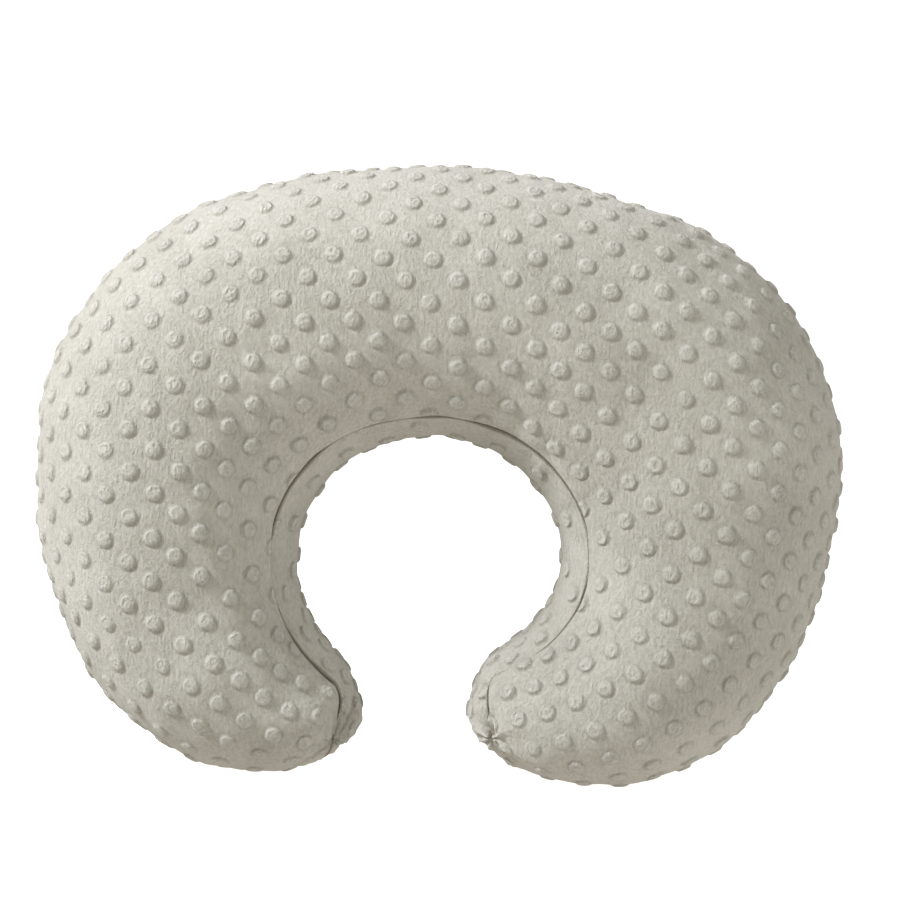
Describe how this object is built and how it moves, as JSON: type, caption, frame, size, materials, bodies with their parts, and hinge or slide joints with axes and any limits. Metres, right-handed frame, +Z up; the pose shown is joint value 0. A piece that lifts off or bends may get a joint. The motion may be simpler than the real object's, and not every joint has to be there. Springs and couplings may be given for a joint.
{
  "type": "nursing pillow",
  "caption": "C-shaped stuffed nursing pillow standing on its legs, in a removable dimple-dot plush cover with an outer zipper over a woven casing full of fibre.",
  "frame": {"origin": "on the floor under the middle of the pillow, which stands on its two leg ends", "axes": "+X to the right along the width, +Y to the back through the thickness, +Z up from the leg ends to the crown"},
  "size_m": [0.5496, 0.1655, 0.4153],
  "materials": {
    "plush": "matte",
    "casing_cloth": "matte",
    "fibre": "matte",
    "thread": "matte",
    "zipper_tape": "matte",
    "zipper_coil": "satin",
    "zipper_metal": "satin",
    "label_cloth": "satin"
  },
  "bodies": {
    "pillow": {"cover_front_panel": "plush", "cover_back_panel": "plush", "inner_seam_thread": "thread", "outer_seam_thread_left": "thread", "outer_seam_thread_right": "thread", "zipper_tape_front": "zipper_tape", "zipper_tape_back": "zipper_tape", "zipper_coil_front": "zipper_coil", "zipper_coil_back": "zipper_coil", "zipper_stitching_front": "thread", "zipper_stitching_back": "thread", "zipper_top_stop_front": "zipper_metal", "zipper_top_stop_back": "zipper_metal", "zipper_bottom_stop": "zipper_metal", "casing_front_panel": "casing_cloth", "casing_back_panel": "casing_cloth", "casing_inner_seam_thread": "thread", "casing_outer_seam_thread_left": "thread", "casing_outer_seam_thread_right": "thread", "casing_closing_stitches": "thread", "fibre_fill": "fibre", "care_label": "label_cloth"},
    "slider": {"zipper_slider": "zipper_metal"},
    "pull_tab": {"zipper_pull_tab": "zipper_metal"}
  },
  "joints": [
    {"name": "slider_travel", "type": "hinge", "parent": "pillow", "child": "slider", "pos_m": [0, 0, -0.024], "axis": [0, -1, 0], "range_deg": [0, 37.54]},
    {"name": "pull_tab_flip", "type": "hinge", "parent": "slider", "child": "pull_tab", "pos_m": [0.13935, 0.03504, 0.38608], "axis": [0.1581, -0.871, 0.4652], "range_deg": [0, 170]}
  ]
}
